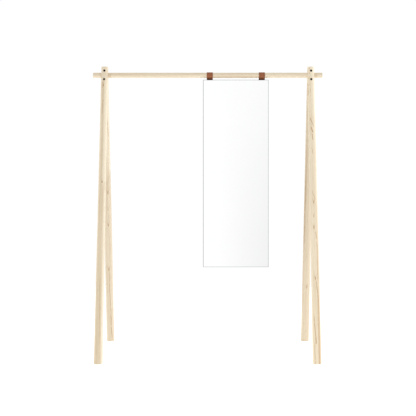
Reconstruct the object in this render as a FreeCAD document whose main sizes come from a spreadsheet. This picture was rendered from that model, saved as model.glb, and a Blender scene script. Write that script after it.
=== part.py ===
import FreeCAD, Part
import os

import Sketcher

# A free-standing A-frame stand of round pine poles with a mirror hung from its rail.
# Two pairs of tapered poles lean together and meet on a flat face at their tops. Each pair
# clamps the rail in a round notch, with one bolt above the rail and one below it. The
# frameless mirror is glued to a backing board, and two leather straps go round the rail
# and are clamped behind the board, so that the mirror slides along the rail and swings.
#
# Millimetres. X is to the right along the rail, the mirror faces -Y and +Z is up. The
# origin is on the floor under the middle of the rail.

SIZES = (
    ("rack_height", 1520, "floor to the tops of the legs"),
    ("leg_spacing", 1100, "middle of the left pair of legs to the middle of the right pair"),
    ("foot_spacing", 587, "front foot to rear foot, middle to middle"),
    ("foot_diameter", 44.5, "tapered round pole, at the floor"),
    ("top_diameter", 36.5, "tapered round pole, at its top"),
    ("leg_rounding", 1.5, "rounding of a leg's sawn ends"),
    ("saw_waste", 60, "spare length of a pole beyond each sawn end"),
    ("station_low", 60, "along a pole to where its long plain stretch begins"),
    ("station_high", 1290, "along a pole to where its long plain stretch ends"),
    ("crotch_drop", 220, "leg tops down to where the legs stand well apart"),
    ("rail_length", 1224, "end to end"),
    ("rail_diameter", 28, "round pine dowel"),
    ("rail_drop", 45.4, "leg tops down to the middle of the rail"),
    ("rail_rounding", 2, "rounding of the rail's ends"),
    ("notch_play", 0.1, "between the rail and each half-round notch"),
    ("bolt_offset", 23.2, "middle of the rail up or down to a bolt"),
    ("bolt_diameter", 5.9, "M6 shank"),
    ("bolt_hole", 6.6, "clearance hole for the M6 shank"),
    ("bolt_chamfer", 0.6, "edges of the heads and of the shank's end"),
    ("upper_bolt_length", 30, "under the head"),
    ("lower_bolt_length", 50, "under the head"),
    ("head_diameter", 10, "socket cap head, and the nut's flange"),
    ("head_height", 6, "socket cap head"),
    ("head_socket", 5, "hexagon across its flats"),
    ("head_socket_depth", 3, "depth of the hexagon"),
    ("head_sink", 1, "leg's surface down to the top of a head"),
    ("recess_diameter", 10.6, "round recess for a head"),
    ("nut_flange", 3, "thickness of the sleeve nut's flange"),
    ("nut_sleeve", 18, "length of the nut's sleeve"),
    ("nut_sleeve_diameter", 8, "outside of the nut's sleeve"),
    ("nut_hole", 8.4, "clearance hole for the nut's sleeve"),
    ("nut_bore", 6, "threaded bore of the nut"),
    ("nut_socket", 4, "hexagon across its flats"),
    ("nut_socket_depth", 2, "depth of the hexagon"),
    ("mirror_width", 350, "glass"),
    ("mirror_height", 1000, "glass"),
    ("mirror_thickness", 4, "glass"),
    ("mirror_bevel", 1, "ground front edges of the glass"),
    ("mirror_offset", 150, "middle of the rail to the middle of the mirror"),
    ("mirror_drop", 24.4, "middle of the rail down to the top of the glass"),
    ("mirror_forward", 4.3, "rail's axis forward to the front of the glass"),
    ("tape_thickness", 1, "foam mounting tape"),
    ("tape_width", 20, "foam mounting tape"),
    ("tape_length", 940, "foam mounting tape"),
    ("tape_spacing", 260, "middle of one tape to the middle of the other"),
    ("board_thickness", 8, "backing board"),
    ("board_inset", 3, "edge of the glass in to the edge of the board"),
    ("board_chamfer", 1, "rear edges of the board"),
    ("strap_width", 32, "leather strap"),
    ("strap_thickness", 1.8, "leather strap"),
    ("strap_spacing", 278, "middle of one strap to the middle of the other"),
    ("strap_play", 0.3, "between the rail and the strap's loop"),
    ("strap_tail", 74, "middle of the rail down to the strap's ends"),
    ("strap_fold", 24.6, "middle of the rail down to where the strap turns down the board"),
    ("strap_hole", 4.6, "screw hole in the strap"),
    ("clamp_play", 0.15, "each side of the strap under its plate"),
    ("plate_width", 32, "steel clamp plate"),
    ("plate_height", 26, "steel clamp plate"),
    ("plate_thickness", 2, "steel clamp plate"),
    ("plate_rounding", 3, "corners of the plate"),
    ("plate_edge", 0.4, "rear edges of the plate"),
    ("plate_drop", 56, "middle of the rail down to the middle of the plate"),
    ("screw_spacing", 18, "between the two screws of a plate"),
    ("screw_diameter", 3.5, "screw's shank"),
    ("screw_hole", 3.8, "screw holes in the plate and the board"),
    ("screw_length", 11.5, "under the head"),
    ("screw_point", 3, "length of the screw's point"),
    ("screw_head", 7, "pan head's diameter"),
    ("screw_head_height", 2.2, "pan head"),
    ("screw_slot", 1, "width of the cross recess"),
    ("screw_slot_length", 4.2, "length of the cross recess"),
    ("screw_slot_depth", 1.3, "depth of the cross recess"),
)

LEFT, RIGHT = -1, 1
FRONT, REAR = -1, 1
UPPER, LOWER = 1, -1

# Expressions that several sub-parts share
SLOPE = "(Sizes.foot_spacing / 2 / Sizes.rack_height)"
LEAN = f"atan({SLOPE})"
RAIL_UP = "(Sizes.rack_height - Sizes.rail_drop)"
GLASS_BACK = "(Sizes.mirror_thickness - Sizes.mirror_forward)"
BOARD_FRONT = f"({GLASS_BACK} + Sizes.tape_thickness)"
BOARD_BACK = f"({BOARD_FRONT} + Sizes.board_thickness)"
TAIL_FRONT = f"({BOARD_BACK} + Sizes.clamp_play)"
TAIL_BACK = f"({TAIL_FRONT} + 2 * Sizes.strap_thickness)"
PLATE_FRONT = f"({TAIL_BACK} + Sizes.clamp_play)"
PLATE_BACK = f"({PLATE_FRONT} + Sizes.plate_thickness)"

document = FreeCAD.newDocument("MirrorStand")
bodies = []


# ---- the sheet of driving dimensions ----


def fill_sheet():
    """Writes each size as a plain number with its alias and what it means."""
    sheet = document.addObject("Spreadsheet::Sheet", "Sizes")
    for row, (alias, size, meaning) in enumerate(SIZES, 1):
        sheet.set(f"A{row}", alias)
        sheet.set(f"B{row}", str(size))
        sheet.set(f"C{row}", meaning)
        sheet.setAlias(f"B{row}", alias)
    document.recompute()


# ---- bodies, sketches and features ----


def bind(thing, **expressions):
    """Binds properties to expressions. A double underscore in a name stands for a dot."""
    for name, expression in expressions.items():
        thing.setExpression(name.replace("__", "."), expression)


def new_body(label, x="0", y="0", z="0"):
    """An empty body whose own origin is at the given place."""
    body = document.addObject("PartDesign::Body", label)
    body.Label = label
    bind(body, Placement__Base__x=x, Placement__Base__y=y, Placement__Base__z=z)
    bodies.append(body)
    return body


def new_sketch(body, name, plane):
    """A sketch on one of the body's own origin planes."""
    sketch = body.newObject("Sketcher::SketchObject", name)
    support = next(f for f in body.Origin.OriginFeatures if f.Role == plane)
    sketch.AttachmentSupport = (support, [""])
    sketch.MapMode = "FlatFace"
    return sketch


def value(sketch, expression):
    """What an expression comes to, as a plain number."""
    found = sketch.evalExpression(expression)
    return float(getattr(found, "Value", found))


def point_of(sketch, across, up):
    """The place of two expressions in a sketch."""
    return FreeCAD.Vector(value(sketch, across), value(sketch, up), 0)


def drive(sketch, kind, references, name, expression):
    """Adds a named dimension to a sketch and binds it to an expression."""
    size = value(sketch, expression)
    number = sketch.addConstraint(Sketcher.Constraint(kind, *references, size))
    sketch.renameConstraint(number, name)
    sketch.setExpression(f"Constraints.{name}", expression)


def place(sketch, geometry, vertex, name, across, up):
    """Ties one vertex of a sketch to its distances from the sketch's origin."""
    drive(sketch, "DistanceX", (-1, 1, geometry, vertex), f"{name}_across", across)
    drive(sketch, "DistanceY", (-1, 1, geometry, vertex), f"{name}_up", up)


def draw_polygon(sketch, name, corners):
    """Closed straight sides through corners that are pairs of expressions."""
    points = [point_of(sketch, *corner) for corner in corners]
    first = sketch.GeometryCount
    count = len(points)
    for number in range(count):
        side = Part.LineSegment(points[number], points[(number + 1) % count])
        sketch.addGeometry(side, False)
    for number in range(count):
        ends = (first + number, 2, first + (number + 1) % count, 1)
        sketch.addConstraint(Sketcher.Constraint("Coincident", *ends))
        place(sketch, first + number, 1, f"{name}{number}", *corners[number])


def draw_rectangle(sketch, name, left, bottom, right, top):
    """A rectangle whose four sides are expressions."""
    corners = ((left, bottom), (right, bottom), (right, top), (left, top))
    draw_polygon(sketch, name, corners)


def draw_circle(sketch, name, across, up, diameter):
    """A circle with its middle and diameter given by expressions."""
    middle = point_of(sketch, across, up)
    axis = FreeCAD.Vector(0, 0, 1)
    circle = Part.Circle(middle, axis, value(sketch, f"{diameter} / 2"))
    number = sketch.addGeometry(circle, False)
    place(sketch, number, 3, name, across, up)
    drive(sketch, "Diameter", (number,), f"{name}_diameter", diameter)


def draw_hexagon(sketch, name, flats):
    """A hexagon about the origin, with its distance across the flats."""
    corner = f"{flats} / sqrt(3)"
    turns = [60 * number for number in range(6)]
    corners = [(f"{corner} * cos({a})", f"{corner} * sin({a})") for a in turns]
    draw_polygon(sketch, name, corners)


def pad(body, sketch, name, length, side="One side", backwards=False):
    """Pads a sketch. A sketch on the XZ plane pads towards -Y unless backwards."""
    feature = body.newObject("PartDesign::Pad", name)
    feature.Profile = sketch
    feature.SideType = side
    feature.Reversed = backwards
    bind(feature, Length=length)
    document.recompute()
    return feature


def revolve(body, sketch, name, axis):
    """Turns a sketch once round one of its own axes."""
    feature = body.newObject("PartDesign::Revolution", name)
    feature.Profile = sketch
    feature.ReferenceAxis = (sketch, [axis])
    feature.Angle = 360
    document.recompute()
    return feature


def pocket(body, sketch, name, depth=None, side="Symmetric", backwards=False):
    """Cuts a sketch out of the body and makes sure that it took something away."""
    before = body.Shape.Volume
    feature = body.newObject("PartDesign::Pocket", name)
    feature.Profile = sketch
    feature.SideType = side
    feature.Reversed = backwards
    if depth is None:
        feature.Type = "ThroughAll"
    else:
        bind(feature, Length=depth)
    document.recompute()
    if body.Shape.Volume >= before:
        raise RuntimeError(f"{body.Label}: {name} cuts nothing")
    return feature


def edges_where(body, test):
    """Names of the edges of the body's tip whose ends and middle pass a test."""
    names = []
    for number, edge in enumerate(body.Tip.Shape.Edges, 1):
        middle = edge.valueAt((edge.FirstParameter + edge.LastParameter) / 2)
        if all(test(point) for point in [v.Point for v in edge.Vertexes] + [middle]):
            names.append(f"Edge{number}")
    if not names:
        raise RuntimeError(f"{body.Label}: no edge to dress")
    return names


def near(first, second):
    return abs(first - second) < 1e-4


def is_straight(body, name):
    """Whether an edge of the body's tip is straight."""
    return isinstance(body.Tip.Shape.getElement(name).Curve, Part.Line)


def dress(body, kind, name, size, test, curved_only=False):
    """A fillet or a chamfer on the edges that pass a test."""
    base = body.Tip
    names = edges_where(body, test)
    if curved_only:
        names = [edge for edge in names if not is_straight(body, edge)]
    feature = body.newObject(f"PartDesign::{kind}", name)
    feature.Base = (base, names)
    bind(feature, **{"Radius" if kind == "Fillet" else "Size": size})
    document.recompute()
    return feature


# ---- the stand ----


def bolt_up(level):
    """Height of the upper or the lower bolts."""
    return f"({RAIL_UP} + {level} * Sizes.bolt_offset)"


def pole_radius(up):
    """A tapered pole's radius at a height."""
    taper = "(Sizes.foot_diameter - Sizes.top_diameter) / Sizes.rack_height"
    return f"((Sizes.foot_diameter - {taper} * {up}) / 2)"


def leg_surface(up):
    """How far a leg's outer surface stands from the mating face at a height."""
    return f"((Sizes.rack_height - {up}) * {SLOPE} + {pole_radius(up)} / cos({LEAN}))"


def recess_floor(level, end):
    """Mating face out to the floor of a head's or a flange's recess."""
    height = "Sizes.head_height" if end == FRONT else "Sizes.nut_flange"
    return f"({leg_surface(bolt_up(level))} - Sizes.head_sink - {height})"


def make_leg(label, side, end):
    """A leaning pole, sawn flat at the floor, at its top and where it meets its twin."""
    body = new_body(label, x=f"{side} * Sizes.leg_spacing / 2")

    waste = "Sizes.saw_waste"
    stations = (
        f"-{waste}",
        "Sizes.station_low",
        "Sizes.station_high",
        f"(Sizes.rack_height / cos({LEAN}) + {waste})",
    )
    section = new_sketch(body, "Section", "YZ_Plane")
    section.AttachmentOffset.Rotation.Axis = FreeCAD.Vector(0, 0, 1)
    bind(
        section,
        AttachmentOffset__Rotation__Angle=f"{end} * {LEAN}",
        AttachmentOffset__Base__x=f"{end} * Sizes.foot_spacing / 2",
    )
    flank = [(pole_radius(f"({up} * cos({LEAN}))"), up) for up in stations]
    draw_polygon(section, "pole", [("0", stations[0]), *flank, ("0", stations[-1])])
    revolve(body, section, "Pole", "V_Axis")

    foot = f"{end} * Sizes.foot_spacing / 2"
    crotch = "(Sizes.rack_height - Sizes.crotch_drop)"
    above = f"(Sizes.rack_height + {waste})"
    sawing = new_sketch(body, "Sawing", "YZ_Plane")
    draw_rectangle(
        sawing, "floor", f"{foot} - {waste}", f"-2 * {waste}", f"{foot} + {waste}", "0"
    )
    draw_polygon(
        sawing,
        "mate",
        (
            ("0", crotch),
            ("0", "Sizes.rack_height"),
            (f"{end} * {waste}", "Sizes.rack_height"),
            (f"{end} * {waste}", f"{above} + {waste}"),
            (f"{-end} * {waste}", f"{above} + {waste}"),
            (f"{-end} * {waste}", crotch),
        ),
    )
    pocket(body, sawing, "SawnFaces")

    notch = new_sketch(body, "Notch", "YZ_Plane")
    bed = "Sizes.rail_diameter + 2 * Sizes.notch_play"
    draw_circle(notch, "bed", "0", RAIL_UP, bed)
    pocket(body, notch, "RailNotch")

    holes = new_sketch(body, "Holes", "XZ_Plane")
    drill = "Sizes.bolt_hole" if end == FRONT else "Sizes.nut_hole"
    draw_circle(holes, "upper", "0", bolt_up(UPPER), drill)
    draw_circle(holes, "lower", "0", bolt_up(LOWER), drill)
    pocket(body, holes, "BoltHoles")

    for name, level in (("Upper", UPPER), ("Lower", LOWER)):
        recess = new_sketch(body, f"{name}Recess", "XZ_Plane")
        bind(recess, AttachmentOffset__Base__z=f"{-end} * {recess_floor(level, end)}")
        draw_circle(recess, "recess", "0", bolt_up(level), "Sizes.recess_diameter")
        pocket(body, recess, f"{name}HeadRecess", side="One side", backwards=end == FRONT)

    height = value(document.Sizes, "Sizes.rack_height")
    rounding = "Sizes.leg_rounding"
    dress(body, "Fillet", "FootEdge", rounding, lambda p: near(p.z, 0))
    dress(body, "Fillet", "TopEdge", rounding, lambda p: near(p.z, height), curved_only=True)


def make_rail():
    """A dowel with rounded ends, held in the notches of both pairs of legs."""
    body = new_body("rail", z=RAIL_UP)
    section = new_sketch(body, "Section", "YZ_Plane")
    draw_circle(section, "rail", "0", "0", "Sizes.rail_diameter")
    pad(body, section, "Dowel", "Sizes.rail_length", side="Symmetric")
    half = value(document.Sizes, "Sizes.rail_length / 2")
    dress(body, "Fillet", "Ends", "Sizes.rail_rounding", lambda p: near(abs(p.x), half))


def make_bolt(label, side, level, length):
    """A black socket cap bolt, with its head in the front leg's recess."""
    body = new_body(
        label,
        x=f"{side} * Sizes.leg_spacing / 2",
        y=f"-{recess_floor(level, FRONT)}",
        z=bolt_up(level),
    )
    shank = new_sketch(body, "ShankSection", "XZ_Plane")
    draw_circle(shank, "shank", "0", "0", "Sizes.bolt_diameter")
    pad(body, shank, "Shank", length, backwards=True)
    head = new_sketch(body, "HeadSection", "XZ_Plane")
    draw_circle(head, "head", "0", "0", "Sizes.head_diameter")
    pad(body, head, "Head", "Sizes.head_height")
    top = value(document.Sizes, "Sizes.head_height")
    tip = value(document.Sizes, length)
    dress(
        body,
        "Chamfer",
        "Edges",
        "Sizes.bolt_chamfer",
        lambda p: near(p.y, -top) or near(p.y, tip),
    )
    socket = new_sketch(body, "SocketSection", "XZ_Plane")
    bind(socket, AttachmentOffset__Base__z="Sizes.head_height")
    draw_hexagon(socket, "key", "Sizes.head_socket")
    pocket(body, socket, "Socket", "Sizes.head_socket_depth", side="One side")


def make_nut(label, side, level):
    """A sleeve nut, with its flange in the rear leg's recess."""
    body = new_body(
        label,
        x=f"{side} * Sizes.leg_spacing / 2",
        y=recess_floor(level, REAR),
        z=bolt_up(level),
    )
    sleeve = new_sketch(body, "SleeveSection", "XZ_Plane")
    draw_circle(sleeve, "sleeve", "0", "0", "Sizes.nut_sleeve_diameter")
    pad(body, sleeve, "Sleeve", "Sizes.nut_sleeve")
    flange = new_sketch(body, "FlangeSection", "XZ_Plane")
    draw_circle(flange, "flange", "0", "0", "Sizes.head_diameter")
    pad(body, flange, "Flange", "Sizes.nut_flange", backwards=True)
    top = value(document.Sizes, "Sizes.nut_flange")
    dress(body, "Chamfer", "Edge", "Sizes.bolt_chamfer", lambda p: near(p.y, top))
    bore = new_sketch(body, "BoreSection", "XZ_Plane")
    bind(bore, AttachmentOffset__Base__z="Sizes.nut_sleeve")
    draw_circle(bore, "bore", "0", "0", "Sizes.nut_bore")
    pocket(body, bore, "Bore", "Sizes.nut_sleeve", side="One side")
    socket = new_sketch(body, "SocketSection", "XZ_Plane")
    bind(socket, AttachmentOffset__Base__z="-Sizes.nut_flange")
    draw_hexagon(socket, "key", "Sizes.nut_socket")
    pocket(
        body,
        socket,
        "Socket",
        "Sizes.nut_socket_depth",
        side="One side",
        backwards=True,
    )


# ---- the mirror ----


def make_panel(label, y, thickness, width, height, top):
    """A flat panel behind a plane, centred on the mirror, hanging down from a height."""
    body = new_body(label, x="Sizes.mirror_offset", y=y, z=f"{RAIL_UP} - {top}")
    outline = new_sketch(body, "Outline", "XZ_Plane")
    draw_rectangle(outline, "side", f"-{width} / 2", f"-{height}", f"{width} / 2", "0")
    pad(body, outline, "Panel", thickness, backwards=True)
    return body


def make_glass():
    """The mirror glass, with ground edges in front."""
    body = make_panel(
        "mirror_glass",
        "-Sizes.mirror_forward",
        "Sizes.mirror_thickness",
        "Sizes.mirror_width",
        "Sizes.mirror_height",
        "Sizes.mirror_drop",
    )
    dress(body, "Chamfer", "Bevel", "Sizes.mirror_bevel", lambda p: near(p.y, 0))


def make_board():
    """The backing board, a little smaller than the glass, drilled for the screws."""
    top = "(Sizes.mirror_drop + Sizes.board_inset)"
    body = make_panel(
        "backing_board",
        BOARD_FRONT,
        "Sizes.board_thickness",
        "(Sizes.mirror_width - 2 * Sizes.board_inset)",
        "(Sizes.mirror_height - 2 * Sizes.board_inset)",
        top,
    )
    back = value(document.Sizes, "Sizes.board_thickness")
    dress(body, "Chamfer", "RearEdges", "Sizes.board_chamfer", lambda p: near(p.y, back))
    holes = new_sketch(body, "PilotHoles", "XZ_Plane")
    bind(holes, AttachmentOffset__Base__z="-Sizes.board_thickness")
    for strap in (LEFT, RIGHT):
        for screw in (LEFT, RIGHT):
            name = f"hole{(strap + 1) + (screw + 1) // 2}"
            across = f"({strap} * Sizes.strap_spacing + {screw} * Sizes.screw_spacing) / 2"
            draw_circle(holes, name, across, f"{top} - Sizes.plate_drop", "Sizes.screw_hole")
    depth = f"(Sizes.screw_length + {BOARD_BACK} - {PLATE_BACK} + 0.5)"
    pocket(body, holes, "Pilots", depth, side="One side", backwards=True)


def make_tape(label, side):
    """One strip of foam tape between the glass and the board."""
    drop = "(Sizes.mirror_drop + (Sizes.mirror_height - Sizes.tape_length) / 2)"
    body = new_body(
        label,
        x=f"Sizes.mirror_offset + {side} * Sizes.tape_spacing / 2",
        y=GLASS_BACK,
        z=f"{RAIL_UP} - {drop}",
    )
    outline = new_sketch(body, "Outline", "XZ_Plane")
    half = "Sizes.tape_width / 2"
    draw_rectangle(outline, "side", f"-{half}", "-Sizes.tape_length", half, "0")
    pad(body, outline, "Strip", "Sizes.tape_thickness", backwards=True)


# ---- the straps and what clamps them ----


def strap_place(side):
    """Where a strap's middle is along the rail."""
    return f"Sizes.mirror_offset + {side} * Sizes.strap_spacing / 2"


def draw_strap_side(sketch):
    """The strap seen along the rail: a loop, and two plies that go down the board.

    The loop is round about the rail. Each ply leaves it on a tangent, and the two meet at
    the board's back and go down it together.
    """
    inner = "Sizes.rail_diameter / 2 + Sizes.strap_play"
    outer = f"{inner} + Sizes.strap_thickness"
    fold, tail = "-Sizes.strap_fold", "-Sizes.strap_tail"
    middle, axis = FreeCAD.Vector(0, 0, 0), FreeCAD.Vector(0, 0, 1)
    front_turn, back_turn = 4.2, -0.2  # about where the loop ends, in radians

    def add_arc(radius):
        circle = Part.Circle(middle, axis, value(sketch, radius))
        return sketch.addGeometry(Part.ArcOfCircle(circle, back_turn, front_turn), False)

    def add_line(start, finish):
        return sketch.addGeometry(Part.LineSegment(start, finish), False)

    def tie(kind, *references):
        sketch.addConstraint(Sketcher.Constraint(kind, *references))

    outer_arc = add_arc(outer)
    back_end = sketch.getPoint(outer_arc, 1)
    front_end = sketch.getPoint(outer_arc, 2)
    front_fold = point_of(sketch, TAIL_FRONT, fold)
    front_tip = point_of(sketch, TAIL_FRONT, tail)
    back_tip = point_of(sketch, TAIL_BACK, tail)
    back_fold = point_of(sketch, TAIL_BACK, fold)
    front_ply = add_line(front_end, front_fold)
    front_side = add_line(front_fold, front_tip)
    end_side = add_line(front_tip, back_tip)
    back_side = add_line(back_tip, back_fold)
    back_ply = add_line(back_fold, back_end)
    tie("Coincident", outer_arc, 3, -1, 1)
    drive(sketch, "Radius", (outer_arc,), "outer_radius", outer)
    tie("Tangent", outer_arc, 2, front_ply, 1)
    tie("Coincident", front_ply, 2, front_side, 1)
    tie("Coincident", front_side, 2, end_side, 1)
    tie("Coincident", end_side, 2, back_side, 1)
    tie("Coincident", back_side, 2, back_ply, 1)
    tie("Tangent", back_ply, 2, outer_arc, 1)
    place(sketch, front_side, 1, "front_fold", TAIL_FRONT, fold)
    place(sketch, end_side, 1, "front_tip", TAIL_FRONT, tail)
    place(sketch, back_side, 1, "back_tip", TAIL_BACK, tail)
    place(sketch, back_ply, 1, "back_fold", TAIL_BACK, fold)

    inner_arc = add_arc(inner)
    meeting = (front_fold + back_fold) / 2
    front_inside = add_line(sketch.getPoint(inner_arc, 2), meeting)
    back_inside = add_line(meeting, sketch.getPoint(inner_arc, 1))
    tie("Coincident", inner_arc, 3, -1, 1)
    drive(sketch, "Radius", (inner_arc,), "inner_radius", inner)
    tie("Tangent", inner_arc, 2, front_inside, 1)
    tie("Coincident", front_inside, 2, back_inside, 1)
    tie("Tangent", back_inside, 2, inner_arc, 1)
    tie("Parallel", front_inside, front_ply)
    tie("Parallel", back_inside, back_ply)


def make_strap(label, side):
    """A leather strap: a loop round the rail and a doubled tail behind the board."""
    body = new_body(label, x=strap_place(side), z=RAIL_UP)
    outline = new_sketch(body, "SideView", "YZ_Plane")
    draw_strap_side(outline)
    pad(body, outline, "Leather", "Sizes.strap_width", side="Symmetric")
    holes = new_sketch(body, "ScrewHoles", "XZ_Plane")
    draw_screw_pair(holes, "-Sizes.plate_drop", "Sizes.strap_hole")
    pocket(body, holes, "Holes")


def draw_screw_pair(sketch, up, diameter):
    """Two circles, one for each screw of a clamp plate."""
    for name, screw in (("left", LEFT), ("right", RIGHT)):
        draw_circle(sketch, name, f"{screw} * Sizes.screw_spacing / 2", up, diameter)


def make_plate(label, side):
    """A steel plate that clamps a strap's tail to the board."""
    body = new_body(
        label,
        x=strap_place(side),
        y=PLATE_FRONT,
        z=f"{RAIL_UP} - Sizes.plate_drop",
    )
    outline = new_sketch(body, "Outline", "XZ_Plane")
    across, up = "Sizes.plate_width / 2", "Sizes.plate_height / 2"
    draw_rectangle(outline, "side", f"-{across}", f"-{up}", across, up)
    pad(body, outline, "Plate", "Sizes.plate_thickness", backwards=True)
    half_width = value(document.Sizes, across)
    half_height = value(document.Sizes, up)
    back = value(document.Sizes, "Sizes.plate_thickness")
    dress(
        body,
        "Fillet",
        "Corners",
        "Sizes.plate_rounding",
        lambda p: near(abs(p.x), half_width) and near(abs(p.z), half_height),
    )
    dress(body, "Fillet", "RearEdges", "Sizes.plate_edge", lambda p: near(p.y, back))
    holes = new_sketch(body, "ScrewHoles", "XZ_Plane")
    draw_screw_pair(holes, "0", "Sizes.screw_hole")
    pocket(body, holes, "Holes")


def make_screw(label, strap, screw):
    """A pan-head screw through the plate and the strap, into the board."""
    body = new_body(
        label,
        x=f"{strap_place(strap)} + {screw} * Sizes.screw_spacing / 2",
        y=PLATE_BACK,
        z=f"{RAIL_UP} - Sizes.plate_drop",
    )
    profile = new_sketch(body, "Profile", "YZ_Plane")
    radius, head = "Sizes.screw_diameter / 2", "Sizes.screw_head / 2"
    draw_polygon(
        profile,
        "turned",
        (
            ("-Sizes.screw_length", "0"),
            ("Sizes.screw_point - Sizes.screw_length", radius),
            ("0", radius),
            ("0", head),
            ("Sizes.screw_head_height / 2", head),
            ("Sizes.screw_head_height", f"{head} - Sizes.screw_head_height / 2"),
            ("Sizes.screw_head_height", "0"),
        ),
    )
    revolve(body, profile, "Turned", "H_Axis")
    slot = new_sketch(body, "CrossSection", "XZ_Plane")
    bind(slot, AttachmentOffset__Base__z="-Sizes.screw_head_height")
    wide, long = "Sizes.screw_slot / 2", "Sizes.screw_slot_length / 2"
    quarter = ((wide, long), (wide, wide), (long, wide))
    corners = list(quarter)
    corners += [(a, f"-{u}") for a, u in reversed(quarter)]
    corners += [(f"-{a}", f"-{u}") for a, u in quarter]
    corners += [(f"-{a}", u) for a, u in reversed(quarter)]
    draw_polygon(slot, "cross", corners)
    pocket(
        body, slot, "Cross", "Sizes.screw_slot_depth", side="One side", backwards=True
    )


# ---- the whole object ----


def make_everything():
    for side_name, side in (("left", LEFT), ("right", RIGHT)):
        make_leg(f"front_{side_name}_leg", side, FRONT)
        make_leg(f"rear_{side_name}_leg", side, REAR)
        make_bolt(f"upper_{side_name}_bolt", side, UPPER, "Sizes.upper_bolt_length")
        make_bolt(f"lower_{side_name}_bolt", side, LOWER, "Sizes.lower_bolt_length")
        make_nut(f"upper_{side_name}_sleeve_nut", side, UPPER)
        make_nut(f"lower_{side_name}_sleeve_nut", side, LOWER)
        make_tape(f"{side_name}_mounting_tape", side)
        make_strap(f"{side_name}_strap", side)
        make_plate(f"{side_name}_clamp_plate", side)
        make_screw(f"{side_name}_clamp_screw_outer", side, side)
        make_screw(f"{side_name}_clamp_screw_inner", side, -side)
    make_rail()
    make_glass()
    make_board()


def check_everything():
    """Stops if any object has failed or any sub-part isn't one valid solid."""
    document.recompute()
    for thing in document.Objects:
        if {"Invalid", "Error"} & set(thing.State):
            raise RuntimeError(f"{thing.Label} failed: {thing.State}")
        if thing.TypeId == "Sketcher::SketchObject" and thing.solve() != 0:
            raise RuntimeError(f"{thing.Label} isn't solved")
    for body in bodies:
        shape = body.Shape
        if shape.isNull() or not shape.isValid() or len(shape.Solids) != 1:
            raise RuntimeError(f"{body.Label} isn't one valid solid")


def write_everything():
    os.makedirs("parts", exist_ok=True)
    for body in bodies:
        body.Shape.exportStep(f"parts/{body.Label}.step")
        box = body.Shape.BoundBox
        print(
            f"{body.Label:28s} {body.Shape.Volume / 1000:9.2f} cm3"
            f"  x {box.XMin:8.2f} {box.XMax:8.2f}"
            f"  y {box.YMin:8.2f} {box.YMax:8.2f}"
            f"  z {box.ZMin:8.2f} {box.ZMax:8.2f}"
        )


fill_sheet()
make_everything()
check_everything()
write_everything()
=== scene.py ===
import math

import bmesh
import bpy
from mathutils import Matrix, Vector


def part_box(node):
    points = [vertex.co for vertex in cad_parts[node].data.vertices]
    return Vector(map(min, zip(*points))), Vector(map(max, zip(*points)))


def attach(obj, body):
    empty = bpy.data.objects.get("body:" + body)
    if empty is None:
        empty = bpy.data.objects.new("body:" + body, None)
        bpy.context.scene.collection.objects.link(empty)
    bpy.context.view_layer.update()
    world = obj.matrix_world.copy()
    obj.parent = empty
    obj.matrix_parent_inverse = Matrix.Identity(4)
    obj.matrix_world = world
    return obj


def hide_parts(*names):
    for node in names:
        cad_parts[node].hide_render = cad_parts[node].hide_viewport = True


# The looks of a standing mirror: an A-frame of round pine poles with a rail, and a
# frameless mirror that hangs from the rail on two leather straps. Metres, +Z up, the
# mirror faces -Y.

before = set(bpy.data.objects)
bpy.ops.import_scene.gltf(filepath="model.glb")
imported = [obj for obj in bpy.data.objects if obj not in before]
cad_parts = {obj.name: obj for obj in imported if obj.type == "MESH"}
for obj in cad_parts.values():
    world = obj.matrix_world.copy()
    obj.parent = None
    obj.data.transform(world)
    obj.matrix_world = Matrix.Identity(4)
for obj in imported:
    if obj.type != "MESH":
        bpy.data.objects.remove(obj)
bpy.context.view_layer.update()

MM = 0.001

FOOT_SPACING = 0.587  # front to back, between the middles of the feet
STRAP_WIDTH = 32 * MM


def middle_of(node):
    """The middle of a CAD node's box."""
    low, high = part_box(node)
    return tuple((start + end) / 2 for start, end in zip(low, high))


def front_middle(node):
    """The x and z of a CAD node's middle, so its place as seen from the front."""
    middle = middle_of(node)
    return middle[0], middle[2]


# ---- shader nodes ----


class Field:
    """A number that varies over a surface, which ordinary arithmetic works on."""

    def __init__(self, shader, socket):
        self.shader = shader
        self.socket = socket

    def __add__(self, other):
        return self.shader.math("ADD", self, other)

    def __sub__(self, other):
        return self.shader.math("SUBTRACT", self, other)

    def __rsub__(self, other):
        return self.shader.math("SUBTRACT", other, self)

    def __mul__(self, other):
        return self.shader.math("MULTIPLY", self, other)

    def __truediv__(self, other):
        return self.shader.math("DIVIDE", self, other)

    __radd__ = __add__


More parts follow.
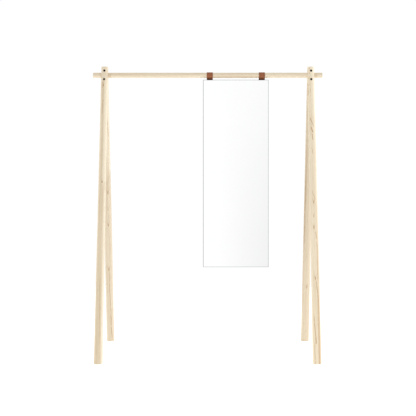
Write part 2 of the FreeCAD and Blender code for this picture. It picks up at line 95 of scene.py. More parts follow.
class Shader:
    """A material's nodes, or the world's, with a short call for each kind of node."""

    def __init__(self, owner):
        owner.use_nodes = True
        self.owner = owner
        self.tree = owner.node_tree

    def feed(self, socket, value):
        """Links a node's input to a field or a socket, or sets it to a plain value."""
        if isinstance(value, Field):
            value = value.socket
        if isinstance(value, bpy.types.NodeSocket):
            self.tree.links.new(value, socket)
        else:
            socket.default_value = value

    def add(self, kind, inputs, output=0, **settings):
        """A node of a kind, and one of its outputs."""
        node = self.tree.nodes.new(f"ShaderNode{kind}")
        for name, setting in settings.items():
            setattr(node, name, setting)
        for name, value in inputs.items():
            self.feed(node.inputs[name], value)
        return node.outputs[output]

    def math(self, operation, first, second=0.0):
        return Field(self, self.add("Math", {0: first, 1: second}, operation=operation))

    def vector(self, x, y, z):
        return self.add("CombineXYZ", {"X": x, "Y": y, "Z": z})

    def split(self, vector):
        node = self.add("SeparateXYZ", {"Vector": vector}).node
        return [Field(self, node.outputs[axis]) for axis in "XYZ"]

    def noise(self, vector, detail=2.0, roughness=0.5):
        """Smooth noise about 0, mostly within 0.25 of it, one cell to a unit."""
        inputs = {"Vector": vector, "Scale": 1.0, "Detail": detail, "Roughness": roughness}
        return Field(self, self.add("TexNoise", inputs)) - 0.5

    def speckle(self, place, scale, **settings):
        """Noise with as many cells to a metre as scale says, along all three axes."""
        x, y, z = place
        return self.noise(self.vector(x * scale, y * scale, z * scale), **settings)

    def step(self, value, low, high):
        """0 at low, 1 at high and smooth between them, where low may be the greater."""
        inputs = {"Value": value, "From Min": low, "From Max": high}
        return Field(self, self.add("MapRange", inputs, interpolation_type="SMOOTHSTEP"))

    def hump(self, value, middle, width):
        """1 at the middle, falling smoothly to 0 at a width away on both sides."""
        return 1.0 - self.step(self.math("ABSOLUTE", value - middle), 0.0, width)

    def span(self, value, low, high, soft):
        """1 between low and high, with soft ends."""
        rise = self.step(value, low - soft, low + soft)
        return rise * (1.0 - self.step(value, high - soft, high + soft))

    def blend(self, amount, first, second):
        """One colour turning into another."""
        inputs = {"Factor": amount, 6: first, 7: second}
        return self.add("Mix", inputs, output=2, data_type="RGBA")

    def object_place(self):
        return self.add("TexCoord", {}, output="Object")

    def set_surface(self, colour, roughness, height=None, relief=0.0):
        """Gives the surface a colour, a roughness and bumps that are relief high."""
        self.feed(self.surface.inputs["Base Color"], colour)
        self.feed(self.surface.inputs["Roughness"], roughness)
        if height is not None:
            inputs = {"Height": height, "Distance": relief, "Strength": 1.0}
            self.feed(self.surface.inputs["Normal"], self.add("Bump", inputs))
        return self.owner


def new_material(name, **surface):
    """The shader helper of a new material, with plain values set on its surface."""
    shader = Shader(bpy.data.materials.new(name))
    shader.surface = shader.tree.nodes["Principled BSDF"]
    for socket, value in surface.items():
        shader.feed(shader.surface.inputs[socket.replace("_", " ")], value)
    return shader


def rgb(red, green, blue):
    """A colour given as it looks on a screen, 0 to 255, made linear."""
    parts = []
    for part in (red, green, blue):
        part /= 255
        parts.append(part / 12.92 if part < 0.04045 else ((part + 0.055) / 1.055) ** 2.4)
    return (*parts, 1.0)


# ---- pine ----

CREAM = rgb(242, 230, 207)
TAN = rgb(221, 203, 174)
LATE = rgb(205, 183, 150)
AMBER = rgb(178, 138, 92)
KNOT = rgb(140, 92, 50)
# The colour of the painted shadow round the bolts' holes
HOLE_SHADOW = rgb(38, 26, 18)

POLE_RADIUS = 20 * MM  # near enough for measuring round any pole
YEAR = 3.4 * MM  # the width of a growth ring
ARM_WIDTH = 2.4 * MM  # of the V in which the grain closes above a knot
ARM_LENGTH = 34 * MM
ARM_SPREAD = 0.24  # how fast the V opens upwards
VEIN_WAVE = 6 * MM
BROAD_VEIN = 10 * MM  # wider veins are soft bands with no breaks in them
HOLE_SHADOW_RADIUS = 5.5 * MM  # of the painted shadow ring round a bolt's hole
HOLE_SHADOW_END = 6.9 * MM  # the radius where its colour has faded away


def pine(
    name,
    base,
    turn,
    pith,
    drift,
    seed,
    tan=0.5,
    lift=1.0,
    top_pale=0.0,
    pale=(),
    veins=(),
    knots=(),
    holes=(),
):
    """Lacquered pine, as a solid log that the pole is cut from.

    base and turn place the pole: its own +Z runs along it, and -Y is its front. Angles
    go round the pole, 0 in front and 90 to the right, or down on the rail. Heights are
    plumb heights on a leg, and on the rail distances to the right of its middle.

    pith is where the log's middle is, across and behind the pole, and drift is how far
    that moves per metre. seed chooses the grain. tan is 0 for cream wood and 1 for tan,
    lift paints the front brighter, as painted light, and top_pale makes a leg's top paler.
    A pale stretch has two heights and an x: the front is paler to the right of it, partly
    as sapwood and partly as painted light from the right. A vein is a dark line from one
    height and angle to another, with a width and a strength; three of the rail's are
    painted shade. A knot has an angle, a height, a size, and arms for how strongly the
    grain closes in a V above it. A hole is a bolt's x and z on the whole object, and a
    dark ring of painted shadow lies round it.
    """
    wood = new_material(name, IOR=1.45)
    world_place = wood.object_place()
    place = wood.add(
        "Mapping",
        {"Vector": world_place, "Location": base, "Rotation": turn},
        vector_type="TEXTURE",
    )
    x, y, z = wood.split(place)
    z = z * math.cos(turn[0])
    round_pole = wood.math("ARCTAN2", x, 0.0 - y) * POLE_RADIUS

    def beside(angle):
        """How far round the surface a place lies from an angle."""
        return round_pole - angle * (math.radians(1) * POLE_RADIUS)

    # Growth rings about a pith that wanders, pushed aside by the knots
    wander = wood.noise(wood.vector(z * 1.3, seed, 0.0), detail=1.0)
    out_x = x - pith[0] - z * drift[0] - wander * (20 * MM)
    out_y = y - pith[1] - z * drift[1]
    radius = wood.math("SQRT", out_x * out_x + out_y * out_y)
    swell = wood.noise(wood.vector(x * 22 + seed, y * 22, z * 2.2), detail=3.0)
    radius = radius + swell * (12 * MM)
    core = 0.0
    closing = 0.0
    for angle, height, size, arms in knots:
        across = beside(angle)
        up = z - height
        away = wood.math("SQRT", across * across + up * up * 0.16)  # longer than wide
        radius = radius + wood.hump(away, 0.0, size * 3.5) * size * 1.6
        core = wood.hump(away, 0.0, size) + core
        arm = wood.math("ABSOLUTE", across) - up * ARM_SPREAD
        fading = wood.step(up, -2 * MM, 2 * MM) * wood.step(up, ARM_LENGTH, 4 * MM)
        closing = wood.hump(arm, 0.0, ARM_WIDTH) * fading * arms + closing
    years = radius / YEAR
    years = years + wood.noise(wood.vector(years * 0.35, seed, 2.0), detail=1.0) * 3.0
    phase = wood.math("FRACT", years)
    late = wood.step(phase, 0.35, 0.92) * (1.0 - wood.step(phase, 0.94, 1.0))
    vigour = wood.noise(wood.vector(years * 0.8, 7.0, seed), detail=1.0)
    late = late * wood.step(vigour, -0.22, 0.3)

    # Fibres, resin canals and slow changes of tone along the pole
    fibre = wood.noise(wood.vector(x * 520, y * 520, z * 11 + seed), detail=3.0)
    canal = wood.noise(wood.vector(x * 330, y * 330, z * 24 - seed), detail=1.0)
    canal = wood.step(canal, 0.16, 0.26)
    tone = wood.noise(wood.vector(x * 45 + seed, y * 45, z * 2.0), detail=3.0)
    band = wood.noise(wood.vector(x * 120, y * 120 + seed, z * 3.0), detail=2.0)

    # How tan the wood is, with its paler stretches and top
    depth = tone * 1.1 + band * 0.7 + tan
    # Pale stretches: sapwood, and painted light on the right of the front
    for low, high, edge in pale:
        sapwood_and_light = wood.step(x - edge, -1.2 * MM, 1.2 * MM) * wood.step(y, 6 * MM, 0.0)
        sapwood_and_light = sapwood_and_light * wood.span(z, low, high, 40 * MM)
        depth = depth - sapwood_and_light * 0.9
        late = late * (1.0 - sapwood_and_light * 0.6)
    if top_pale:
        depth = depth - wood.step(z, 1.42, 1.45) * top_pale
    colour = wood.blend(wood.step(depth, 0.0, 1.0), CREAM, TAN)
    colour = wood.blend(late * 0.42, colour, LATE)
    colour = wood.blend(wood.step(fibre, -0.05, 0.35) * 0.22, colour, LATE)
    colour = wood.blend(canal * 0.3, colour, AMBER)

    for low, low_angle, high, high_angle, width, amount in veins:
        wave = wood.noise(wood.vector(z * 14.0, low, seed), detail=3.0) * VEIN_WAVE
        slope = math.radians(high_angle - low_angle) * POLE_RADIUS / (high - low)
        line = wood.hump(beside(low_angle) - (z - low) * slope - wave, 0.0, width)
        line = line * wood.span(z, low, high, (high - low) / 12)
        if width < BROAD_VEIN:
            broken = wood.noise(wood.vector(z * 45, low, seed), detail=2.0)
            line = line * wood.step(broken, -0.32, -0.02)
        colour = wood.blend(line * amount, colour, AMBER)
    if knots:
        colour = wood.blend(wood.math("MINIMUM", closing, 0.9), colour, AMBER)
        colour = wood.blend(wood.step(core, 0.05, 0.6) * 0.9, colour, AMBER)
        colour = wood.blend(wood.step(core, 0.5, 1.0) * 0.6, colour, KNOT)

    world_x, world_y, world_z = wood.split(world_place)
    # A painted shadow ring round each bolt's hole, which makes the bolt's dark spot larger
    for hole_x, hole_z in holes:
        across = world_x - hole_x
        up = world_z - hole_z
        away = wood.math("SQRT", across * across + up * up)
        hole_shadow = wood.step(away, HOLE_SHADOW_END, HOLE_SHADOW_RADIUS) * 0.9
        colour = wood.blend(hole_shadow, colour, HOLE_SHADOW)

    # Painted light: lift makes the front of the pole brighter
    brighter = wood.step(y, 6 * MM, -4 * MM) * (lift - 1.0) + 1.0
    tuning = {"Color": colour, "Saturation": brighter, "Value": brighter}
    colour = wood.add("HueSaturation", tuning)
    grain = fibre * 0.6 + late * 0.35 - canal * 0.5
    return wood.set_surface(colour, 0.46 + fibre * 0.25 - late * 0.08, grain, 0.12 * MM)


# ---- other materials ----


def leather(name, middle_x, axis_z, seed):
    """Vegetable-tanned cognac leather, smooth side out, with darker burnished edges and painted
    shade below the rail.
    """
    hide = new_material(name, IOR=1.45, Specular_IOR_Level=0.22)
    x, y, z = hide.split(hide.object_place())
    place = hide.vector(x + seed, y, z)
    cells = hide.add("TexVoronoi", {"Vector": place, "Scale": 1150.0}, output="Distance")
    pores = Field(hide, cells)
    cloud = hide.noise(hide.vector(x * 60 + seed, y * 60, z * 60), detail=4.0)
    fine = hide.speckle((x, y, z), 900, detail=2.0)
    crease = hide.noise(hide.vector(x * 70, y * 420, z * 420), detail=2.0)
    colour = hide.blend(hide.step(cloud, -0.25, 0.25), rgb(141, 83, 54), rgb(166, 104, 71))
    colour = hide.blend(hide.step(fine, 0.0, 0.3) * 0.3, colour, rgb(112, 62, 38))
    colour = hide.blend(hide.step(crease, 0.12, 0.3) * 0.35, colour, rgb(96, 52, 32))
    # Painted shade: the front of the strap darkens below the rail, where it turns back behind
    # the mirror's top
    under = hide.step(axis_z - z, 6 * MM, 22 * MM) * hide.step(y, 4 * MM, -2 * MM)
    colour = hide.blend(under * 0.75, colour, rgb(76, 40, 24))
    aside = hide.math("ABSOLUTE", x - middle_x)
    rim = hide.step(aside, STRAP_WIDTH / 2 - 1.2 * MM, STRAP_WIDTH / 2 - 0.2 * MM)
    colour = hide.blend(rim * 0.75, colour, rgb(78, 40, 24))
    height = pores * 0.5 + fine * 0.3 - crease * 0.4
    return hide.set_surface(colour, 0.5 + cloud * 0.3 + fine * 0.2, height, 0.25 * MM)


def silver_glass():
    """The silvered face: clean, with a trace of unevenness in its polish."""
    glass = new_material("silvered_glass", Metallic=1.0)
    place = glass.split(glass.object_place())
    haze = glass.speckle(place, 6, detail=3.0)
    bright, dull = (0.985, 0.99, 0.988, 1), (0.975, 0.98, 0.978, 1)
    colour = glass.blend(glass.step(haze, -0.3, 0.3), bright, dull)
    return glass.set_surface(colour, glass.step(haze, 0.0, 0.5) * 0.012)


def ground_edge(left_x, top_z, strap_places):
    """The ground edge of float glass: satin, with painted shade down its left and a painted
    brown shade and reflection of the straps at its top.
    """
    edge = new_material("ground_glass_edge", IOR=1.52)
    x, y, z = edge.split(edge.object_place())
    marks = edge.noise(edge.vector(x * 300, y * 1200, z * 300), detail=3.0)
    colour = edge.blend(edge.step(marks, -0.3, 0.3), rgb(128, 138, 136), rgb(158, 168, 165))
    full, none = 2.2 * MM, 3 * MM  # how far in from the outline the painted shade and reflection reach
    # Painted shade: the left edge made darker
    left = edge.step(x, left_x + none, left_x + full)
    colour = edge.blend(left, colour, rgb(64, 74, 72))
    # Painted shade and reflection of each strap, brown, on the top edge under it
    for strap_x in strap_places:
        width = edge.span(x, strap_x - STRAP_WIDTH / 2, strap_x + STRAP_WIDTH / 2, 0.4 * MM)
        top = edge.step(z, top_z - none, top_z - full)
        colour = edge.blend(width * top * 0.95, colour, rgb(58, 27, 15))
    return edge.set_surface(colour, 0.3 + marks * 0.3, marks, 0.05 * MM)


def backing_paint():
    """The grey protective paint behind the silvering."""
    paint = new_material("mirror_back_paint", IOR=1.5)
    peel = paint.speckle(paint.split(paint.object_place()), 500, detail=2.0)
    colour = paint.blend(paint.step(peel, -0.3, 0.3), rgb(118, 120, 122), rgb(132, 134, 136))
    return paint.set_surface(colour, 0.5 + peel * 0.2, peel, 0.03 * MM)


def fibreboard():
    """Black fibreboard: a speckle of fibres on its faces, and darker where cut."""
    board = new_material("fibreboard", IOR=1.4)
    x, y, z = board.split(board.object_place())
    fleck = board.speckle((x, y, z), 700, detail=4.0, roughness=0.7)
    fibre = board.noise(board.vector(x * 260, y * 260, z * 420), detail=3.0)
    cloud = board.speckle((x, y, z), 9, detail=3.0)
    colour = board.blend(board.step(cloud, -0.3, 0.3), rgb(58, 57, 56), rgb(66, 65, 63))
    colour = board.blend(board.step(fleck, 0.02, 0.25) * 0.5, colour, rgb(44, 43, 43))
    colour = board.blend(board.step(fibre, 0.1, 0.3) * 0.35, colour, rgb(84, 82, 79))
    low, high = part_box("backing_board")
    middle = middle_of("backing_board")
    cut = 0.0
    for axis, place in ((0, x), (2, z)):
        half = (high[axis] - low[axis]) / 2
        away = board.math("ABSOLUTE", place - middle[axis])
        cut = board.math("MAXIMUM", board.step(away, half - 1.1 * MM, half - 0.9 * MM), cut)
    colour = board.blend(cut * 0.6, colour, rgb(46, 45, 44))
    return board.set_surface(colour, 0.75 + fleck * 0.2, fleck + fibre * 0.5, 0.12 * MM)


def black_oxide(name, scale):
    """Blackened steel, rubbed a little on the high spots."""
    steel = new_material(name, IOR=1.5, Specular_IOR_Level=0.12)
    place = steel.split(steel.object_place())
    grain = steel.speckle(place, scale, detail=3.0)
    rub = steel.speckle(place, 160, detail=3.0)
    colour = steel.blend(steel.step(rub, 0.05, 0.35), rgb(8, 8, 11), rgb(26, 27, 31))
    return steel.set_surface(colour, 0.42 + grain * 0.3, grain, 0.04 * MM)


def zinc():
    """Zinc-plated steel with a slightly yellow, cloudy passivation."""
    plate = new_material("zinc_plate", Metallic=1.0)
    cloud = plate.speckle(plate.split(plate.object_place()), 400, detail=3.0)
    colour = plate.blend(plate.step(cloud, -0.3, 0.3), rgb(188, 190, 196), rgb(206, 203, 190))
    return plate.set_surface(colour, 0.3 + cloud * 0.3)


def foam():
    """The open cells at the sides of white foam tape."""
    tape = new_material("foam_tape", IOR=1.4)
    cells = tape.speckle(tape.split(tape.object_place()), 2500, detail=2.0)
    colour = tape.blend(tape.step(cells, -0.2, 0.3), rgb(240, 240, 236), rgb(196, 196, 190))
    return tape.set_surface(colour, 0.8 + cells * 0.2, cells, 0.1 * MM)


# ---- the wood, the metal, the board and the tape, whose CAD shapes stay ----


def paint_node(node, material):
    """Gives a CAD node another material, on its object's slots."""
    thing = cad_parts[node]
    for slot in thing.material_slots:
        slot.link = "OBJECT"
        slot.material = material


def pole_place(node):
    """The middle of a leg's foot, and the turn that leans a vertical pole like it."""
    low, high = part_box(node)
    side = 1 if high[1] > -low[1] else -1
    spread = FOOT_SPACING / 2
    foot = (middle_of(node)[0], side * spread, 0.0)
    return foot, (side * math.atan(spread / high[2]), 0.0, 0.0)


# Each pale stretch: two heights, x. Each vein: height, angle, height, angle, width,
# strength. Each knot: angle, height, size, arms.
POLES = {
    "front_left_leg": dict(
        pith=(0.055, 0.05),
        drift=(0.006, -0.004),
        seed=3.1,
        tan=0.74,
        lift=1.04,
        top_pale=0.4,
        pale=(
            (0.9, 1.44, 0.003),
            (0.45, 0.86, 0.011),
            (0.12, 0.45, 0.0135),
            (-0.1, 0.12, 0.0165),
        ),
        veins=(
            (1.26, -24, 1.34, -8, 0.007, 0.28),
            (1.40, -30, 1.44, -24, 0.006, 0.25),
            (0.60, -40, 0.85, -28, 0.003, 0.3),
            (0.10, 14, 0.42, 6, 0.003, 0.4),
        ),
        knots=((-12, 1.415, 0.004, 0.5), (4, 0.905, 0.004, 0.2)),
    ),
    "rear_left_leg": dict(
        pith=(-0.05, 0.06),
        drift=(-0.004, 0.005),
        seed=8.7,
        tan=0.5,
        pale=((0.98, 1.6, 0.004),),
        veins=(
            (1.15, 46, 1.243, 28, 0.0034, 0.6),
            (1.05, 38, 1.14, 46, 0.0028, 0.45),
            (0.86, 24, 1.03, 34, 0.0022, 0.5),
            (0.13, 20, 0.405, 4, 0.0026, 0.7),
            (0.02, 26, 0.15, 18, 0.0042, 0.7),
        ),
        knots=(
            (13, 0.842, 0.0024, 1.0),
            (10, 0.75, 0.0018, 0.4),
            (8, 0.664, 0.0028, 0.9),
            (4, 0.413, 0.0031, 1.0),
        ),
    ),
    "front_right_leg": dict(
        pith=(0.02, 0.065),
        drift=(0.005, 0.003),
        seed=14.3,
        tan=0.34,
        lift=1.08,
        top_pale=0.1,
        pale=((1.28, 1.6, -0.0125),),
        veins=(
            (1.475, -30, 1.53, -25, 0.004, 0.45),
            (1.363, -72, 1.432, -66, 0.005, 1.0),
            (1.375, -18, 1.46, -24, 0.003, 0.45),
            (1.195, 22, 1.243, -34, 0.0026, 0.9),
            (1.163, 6, 1.192, -20, 0.0042, 1.0),
            (1.125, 2, 1.157, -8, 0.003, 0.9),
            (1.05, 0, 1.085, -20, 0.0026, 0.6),
            (0.816, 14, 0.86, -30, 0.0022, 0.75),
            (0.57, 33, 0.65, 16, 0.003, 0.8),
            (0.41, 24, 0.58, 33, 0.0032, 0.6),
            (0.30, 33, 0.405, 3, 0.003, 0.85),
            (0.12, 22, 0.30, 31, 0.004, 0.5),
            (-0.1, 30, 0.13, 22, 0.004, 0.5),
            (0.10, -16, 0.235, -34, 0.003, 0.8),
            (-0.1, -22, 0.095, -34, 0.003, 0.6),
            (0.095, -14, 0.125, -20, 0.004, 0.6),
            (-0.1, 32, 0.34, 32, 0.011, 0.42),
            (0.34, 40, 0.80, 50, 0.014, 0.23),
        ),
        knots=(
            (-4, 0.797, 0.0026, 0.9),
            (-8, 0.727, 0.0018, 0.5),
            (-10, 0.667, 0.0025, 0.9),
            (-7, 0.413, 0.003, 0.9),
        ),
    ),
    "rear_right_leg": dict(
        pith=(-0.06, 0.03),
        drift=(0.005, 0.005),
        seed=21.9,
        tan=0.62,
        top_pale=0.4,
        veins=(
            (0.56, -58, 0.92, -58, 0.006, 0.65),
            (0.2, -62, 1.1, -50, 0.012, 0.25),
        ),
        knots=((6, 0.314, 0.0024, 0.8),),
    ),
}

for node, looks in POLES.items():
    base, turn = pole_place(node)
    side = "left" if "left" in node else "right"
    holes = [front_middle(f"{level}_{side}_bolt") for level in ("upper", "lower")]
    paint_node(node, pine(f"pine_{node}", base, turn, holes=holes, **looks))

rail_place = middle_of("rail")
rail_material = pine(
    "pine_rail",
    rail_place,
    (0.0, math.pi / 2, 0.0),
    pith=(0.03, 0.04),
    drift=(0.006, -0.01),
    seed=29.5,
    tan=0.25,
    lift=1.05,
    # The first vein is a broad faint darker band along the upper front. The second is painted
    # shade on the lower front above the mirror, where the mirror keeps the floor's light off,
    # and the last two are painted shade beside the legs.
    veins=(
        (-0.64, -16, 0.30, -16, 0.02, 0.15),
        (-0.018, 56, 0.318, 56, 0.02, 0.45),
        (-0.56, 20, -0.515, 20, 0.03, 0.3),
        (0.55, 20, 0.585, 20, 0.03, 0.3),
    ),
)
paint_node("rail", rail_material)

bolt_material = black_oxide("black_oxide_bolts", 1800.0)
plate_material = black_oxide("black_plates", 1100.0)
zinc_material = zinc()
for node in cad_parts:
    if node.endswith(("_bolt", "_sleeve_nut")):
        paint_node(node, bolt_material)
    elif node.endswith("_clamp_plate"):
        paint_node(node, plate_material)
    elif "_clamp_screw_" in node:
        paint_node(node, zinc_material)
paint_node("backing_board", fibreboard())
tape_material = foam()
for side in ("left", "right"):
    paint_node(f"{side}_mounting_tape", tape_material)


# ---- meshes made here ----


def new_piece(name, vertices, faces, materials, body):
    """An object with a mesh, its materials and the body it moves with."""
    mesh = bpy.data.meshes.new(name)
    mesh.from_pydata(vertices, [], faces)
    for material in materials:
        mesh.materials.append(material)
    piece = bpy.data.objects.new(name, mesh)
    bpy.context.scene.collection.objects.link(piece)
    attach(piece, body)
    return piece


def ring_faces(near, far, count):
    """Faces between two rings of points, which are numbered from near and from far."""
    faces = []
    for step in range(count):
        following = (step + 1) % count
        faces.append((near + step, far + step, far + following, near + following))
    return faces


def tube_faces(ring_count, count, first=0):
    """The faces of a closed tube: a cap, the sides ring after ring, and a cap."""
    faces = [list(range(first, first + count))]
    for number in range(ring_count - 1):
        near = first + number * count
        faces += ring_faces(near, near + count, count)
    last = first + (ring_count - 1) * count
    faces.append([last + step for step in reversed(range(count))])
    return faces


# ---- the mirror ----


def rounded_rectangle(middle_x, middle_z, half_width, half_height, radius, y):
    """Points round an upright rectangle with rounded corners."""
    points = []
    steps = 4
    for quarter in range(4):
        side_x = 1 if quarter in (0, 3) else -1
        side_z = 1 if quarter in (0, 1) else -1
        for step in range(steps + 1):
            angle = math.radians(90 * (quarter + step / steps))
            x = middle_x + side_x * (half_width - radius) + radius * math.cos(angle)
            z = middle_z + side_z * (half_height - radius) + radius * math.sin(angle)
            points.append((x, y, z))
    return points


def make_mirror():
    """Silvered glass with a narrow ground bevel round its face, painted behind."""
    low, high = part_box("mirror_glass")
    middle_x, middle_z = front_middle("mirror_glass")
    half_width, half_height = (high[0] - low[0]) / 2, (high[2] - low[2]) / 2
    silver, edge, paint = 0, 1, 2
    rings = (  # in from the outline, y, corner radius, material up to the next ring
        (2.1 * MM, low[1] + 0.02 * MM, 1.0 * MM, edge),
        (1.9 * MM, low[1], 1.2 * MM, edge),
        (1.7 * MM, low[1] + 0.02 * MM, 1.4 * MM, edge),
        (0.3 * MM, low[1] + 0.9 * MM, 2.2 * MM, edge),
        (0.06 * MM, low[1] + 1.15 * MM, 2.4 * MM, edge),
        (0.0, low[1] + 1.5 * MM, 2.5 * MM, edge),
        (0.0, high[1] - 0.5 * MM, 2.5 * MM, edge),
        (0.1 * MM, high[1] - 0.2 * MM, 2.4 * MM, edge),
        (0.3 * MM, high[1] - 0.04 * MM, 2.2 * MM, paint),
        (0.5 * MM, high[1], 2.0 * MM, paint),
    )
    vertices = []
    for inset, y, radius, kind in rings:
        vertices += rounded_rectangle(
            middle_x, middle_z, half_width - inset, half_height - inset, radius, y
        )
    count = len(vertices) // len(rings)
    faces = tube_faces(len(rings), count)
    kinds = [silver]
    for ring in rings[:-1]:
        kinds += [ring[3]] * count
    kinds.append(paint)
    strap_places = [middle_of(f"{side}_strap")[0] for side in ("left", "right")]
    edge_material = ground_edge(low[0], high[2], strap_places)
    materials = (silver_glass(), edge_material, backing_paint())
    piece = new_piece("mirror_pane", vertices, faces, materials, "mirror")
    for polygon, kind in zip(piece.data.polygons, kinds):
        polygon.material_index = kind
    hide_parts("mirror_glass")


make_mirror()


# ---- leather straps ----

LEATHER_THICKNESS = 1.8 * MM
LEATHER_CORNER = 0.75 * MM  # how far in from its edges the leather is rounded
STRAP_FOLD = -24.6 * MM  # the rail's axis to where the tails turn down the board
LOOP_RADIUS = 15.2 * MM  # the rail's axis to the middle of the leather
FOLD_REACH = 3 * MM  # from the corner of a fold to the ends of its curve
CLAMP_PLAY = 0.15 * MM  # between the board, the tails and the clamp plate
STRAP_HOLE_RADIUS = 2.3 * MM

TAIL_STEPS = 14
LOOP_STEPS = 48
FOLD_STEPS = 8
ACROSS_STEPS = 10
CORNER_STEPS = 8
HOLE_STEPS = 24


def tangent_turn(point, radius, side):
    """The angle on a circle at the origin where the tangent from a point touches it."""
    distance = math.hypot(*point)
    return math.atan2(point[1], point[0]) + side * math.acos(radius / distance)


def fold(before, corner, after):
    """A rounded corner between two straight runs."""
    corner = Vector(corner)
    to_before = (Vector(before) - corner).normalized()
    to_after = (Vector(after) - corner).normalized()
    first, last = corner + to_before * FOLD_REACH, corner + to_after * FOLD_REACH
    points = []
    for step in range(FOLD_STEPS + 1):
        done = step / FOLD_STEPS
        left = 1 - done
        points.append(tuple(left**2 * first + 2 * done * left * corner + done**2 * last))
    return points


def strap_path(front_y, back_y, tail_z):
    """The middle line of a strap, seen along the rail: tail, loop and tail, as (y, z)."""
    front_fold, back_fold = (front_y, STRAP_FOLD), (back_y, STRAP_FOLD)
    start = tangent_turn(front_fold, LOOP_RADIUS, -1)
    end = tangent_turn(back_fold, LOOP_RADIUS, 1)
    while end > start:
        end -= 2 * math.pi
    loop = []
    for step in range(LOOP_STEPS + 1):
        angle = start + (end - start) * step / LOOP_STEPS
        loop.append((LOOP_RADIUS * math.cos(angle), LOOP_RADIUS * math.sin(angle)))
    rise = STRAP_FOLD - tail_z
    rises = [rise * step / TAIL_STEPS for step in range(TAIL_STEPS + 1)]
    points = [(front_y, tail_z + up) for up in rises[:-1]]
    points += fold(points[-1], front_fold, loop[0])
    points += loop
    points += fold(loop[-1], back_fold, (back_y, tail_z))
    points += [(back_y, STRAP_FOLD - down) for down in rises[1:]]
    return points


def band_section():
    """The strap's cross section from edge to edge and back, as (across, outwards)."""
    straight = STRAP_WIDTH / 2 - LEATHER_CORNER
    half_thickness = LEATHER_THICKNESS / 2 - 0.02 * MM  # clear of what it lies on
    points = []
    for side in (1, -1):
        for step in range(ACROSS_STEPS + 1):
            across = side * straight * (2 * step / ACROSS_STEPS - 1)
            points.append((across, side * half_thickness))
        for step in range(1, CORNER_STEPS):
            angle = math.radians(180 - 90 * side - 180 * step / CORNER_STEPS)
            slimming = 1 - 0.12 * side * math.cos(angle)
            across = side * straight + LEATHER_CORNER * math.cos(angle)
            points.append((across, half_thickness * math.sin(angle) * slimming))
    return points


def sweep(section, path, middle_x, axis_z):
    """A closed band along a path of (y, z) points about the rail's axis."""
    vertices = []
    for number, point in enumerate(path):
        before = Vector(path[max(number - 1, 0)])
        after = Vector(path[min(number + 1, len(path) - 1)])
        along = (after - before).normalized()
        outwards = Vector((-along.y, along.x))
        for across, out in section:
            y, z = Vector(point) + outwards * out
            vertices.append((middle_x + across, y, axis_z + z))
    return vertices, tube_faces(len(path), len(section))


def turn_outwards(mesh):
    """Makes every face of a closed mesh face outwards."""
    shape = bmesh.new()
    shape.from_mesh(mesh)
    bmesh.ops.recalc_face_normals(shape, faces=shape.faces)
    shape.to_mesh(mesh)
    shape.free()


def drill(piece, places, radius, low_y, high_y):
    """Cuts round holes through a piece from front to back."""
    vertices, faces = [], []
    for x, z in places:
        faces += tube_faces(2, HOLE_STEPS, first=len(vertices))
        for y in (low_y, high_y):
            for step in range(HOLE_STEPS):
                angle = 2 * math.pi * step / HOLE_STEPS
                vertices.append((x + radius * math.cos(angle), y, z + radius * math.sin(angle)))
    mesh = bpy.data.meshes.new("drill")
    mesh.from_pydata(vertices, [], faces)
    turn_outwards(mesh)
    turn_outwards(piece.data)
    cutter = bpy.data.objects.new("drill", mesh)
    bpy.context.scene.collection.objects.link(cutter)
    cut = piece.modifiers.new("holes", "BOOLEAN")
    cut.object = cutter
    cut.solver = "EXACT"
    evaluated = piece.evaluated_get(bpy.context.evaluated_depsgraph_get())
    cut_mesh = bpy.data.meshes.new_from_object(evaluated)
    piece.modifiers.remove(cut)
    piece.data = cut_mesh
    bpy.data.objects.remove(cutter)


def smooth(piece, angle):
    """Smooth shading that keeps edges sharper than an angle, in degrees."""
    shape = bmesh.new()
    shape.from_mesh(piece.data)
    bmesh.ops.recalc_face_normals(shape, faces=shape.faces)
    for face in shape.faces:
        face.smooth = True
    for edge in shape.edges:
        edge.smooth = edge.is_manifold and edge.calc_face_angle(0.0) < math.radians(angle)
    shape.to_mesh(piece.data)
    shape.free()


def make_strap(side, seed):
    """A strap round the rail, with both tails down the back under the clamp plate."""
    middle_x = middle_of(f"{side}_strap")[0]
    tail_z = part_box(f"{side}_strap")[0][2]
    axis_z = rail_place[2]
    board_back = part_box("backing_board")[1][1]
    plate_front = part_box(f"{side}_clamp_plate")[0][1]
    front_y = board_back + CLAMP_PLAY + LEATHER_THICKNESS / 2
    back_y = plate_front - CLAMP_PLAY - LEATHER_THICKNESS / 2
    path = strap_path(front_y, back_y, tail_z - axis_z)
    vertices, faces = sweep(band_section(), path, middle_x, axis_z)
    material = leather(f"leather_{side}", middle_x, axis_z, seed)
    piece = new_piece(f"{side}_leather_strap", vertices, faces, [material], "mirror")
    screws = [front_middle(f"{side}_clamp_screw_{place}") for place in ("outer", "inner")]
    past = 2 * MM  # how far the drill goes in front of the tails and behind them
    drill(piece, screws, STRAP_HOLE_RADIUS, board_back - past, plate_front + past)
    smooth(piece, angle=50)
    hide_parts(f"{side}_strap")


make_strap("left", seed=0.0)
make_strap("right", seed=5.3)


# ---- the studio ----


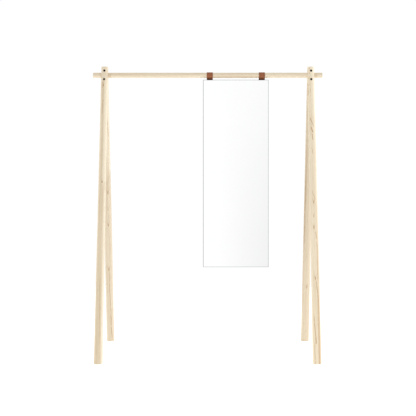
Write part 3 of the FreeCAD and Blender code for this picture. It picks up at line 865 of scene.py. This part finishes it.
def make_floor():
    """A round pale floor that fades out before the mirror could show its edge."""
    radius, rings, spokes = 2.9, 24, 96
    fade_start, fade_end = 2.2, 2.88
    vertices = [(0.0, 0.0, 0.0)]
    for ring in range(1, rings + 1):
        reach = radius * ring / rings
        for spoke in range(spokes):
            angle = 2 * math.pi * spoke / spokes
            vertices.append((reach * math.cos(angle), reach * math.sin(angle), 0.0))
    faces = [(0, 1 + spoke, 1 + (spoke + 1) % spokes) for spoke in range(spokes)]
    for ring in range(rings - 1):
        near = 1 + ring * spokes
        faces += ring_faces(near, near + spokes, spokes)
    mesh = bpy.data.meshes.new("floor")
    mesh.from_pydata(vertices, [], faces)
    floor = bpy.data.objects.new("floor", mesh)
    bpy.context.scene.collection.objects.link(floor)
    ground = new_material(
        "pale_floor",
        Base_Color=(0.97, 0.97, 0.97, 1),
        Roughness=0.9,
        Specular_IOR_Level=0.0,
        Emission_Color=(1, 1, 1, 1),
        Emission_Strength=0.35,
    )
    x, y, z = ground.split(ground.object_place())
    fading = ground.step(ground.math("SQRT", x * x + y * y), fade_start, fade_end)
    clear = ground.add("BsdfTransparent", {})
    surface = ground.surface.outputs[0]
    mixed = ground.add("MixShader", {0: fading, 1: surface, 2: clear})
    ground.feed(ground.tree.nodes["Material Output"].inputs["Surface"], mixed)
    mesh.materials.append(ground.owner)


def make_world():
    """A white studio all round, less bright overhead and in parts of its front half."""
    world = bpy.data.worlds.new("studio")
    bpy.context.scene.world = world
    sky = Shader(world)
    background = sky.tree.nodes["Background"]
    x, y, z = sky.split(sky.add("TexCoord", {}, output="Generated"))
    front = 0.0 - y
    # A trace of grey to the right and low down, which the mirror shows
    right = Field(sky, sky.add("Clamp", {"Value": (x - 0.01) / 0.055}))
    down = Field(sky, sky.add("Clamp", {"Value": (0.09 - z) / 0.18}))
    dim = right * (down * 0.08 + 0.035) * sky.step(front, 0.2, 0.9)
    # The left, which makes the poles a little darker on that side
    dim = dim + sky.step(x, -0.1, -0.6) * sky.step(front, 0.0, 0.6) * 0.4
    overhead = sky.step(z, 0.3, 0.95)
    sky.feed(background.inputs["Strength"], 1.02 - dim - overhead * 0.3)
    background.inputs["Color"].default_value = (1.0, 1.0, 1.0, 1)


def make_softbox(name, place, aim, power):
    """A large soft light that the camera doesn't see."""
    data = bpy.data.lights.new(name, "AREA")
    data.shape = "RECTANGLE"
    data.size = 2.4
    data.size_y = 2.6
    data.energy = power
    lamp = bpy.data.objects.new(name, data)
    bpy.context.scene.collection.objects.link(lamp)
    lamp.location = place
    lamp.rotation_euler = (Vector(aim) - Vector(place)).to_track_quat("-Z", "Y").to_euler()
    lamp.visible_camera = False


def make_camera():
    """The photo's viewpoint: level, and shifted a little to frame the object."""
    data = bpy.data.cameras.new("camera")
    data.sensor_width = 36.0
    data.lens = 79.36
    data.shift_y = -0.1138
    camera = bpy.data.objects.new("camera", data)
    camera.location = (0.0015, -4.9, 1.0186)
    camera.rotation_euler = (math.pi / 2, 0.0, 0.0)
    bpy.context.scene.collection.objects.link(camera)
    bpy.context.scene.camera = camera


make_floor()
make_world()
make_softbox("right_softbox", place=(3.6, 1.2, 1.6), aim=(0.2, 0.0, 0.9), power=38.0)
make_softbox("left_softbox", place=(-3.6, 1.4, 1.6), aim=(-0.2, 0.0, 0.9), power=26.0)
make_camera()

bpy.context.scene.view_settings.view_transform = "Standard"
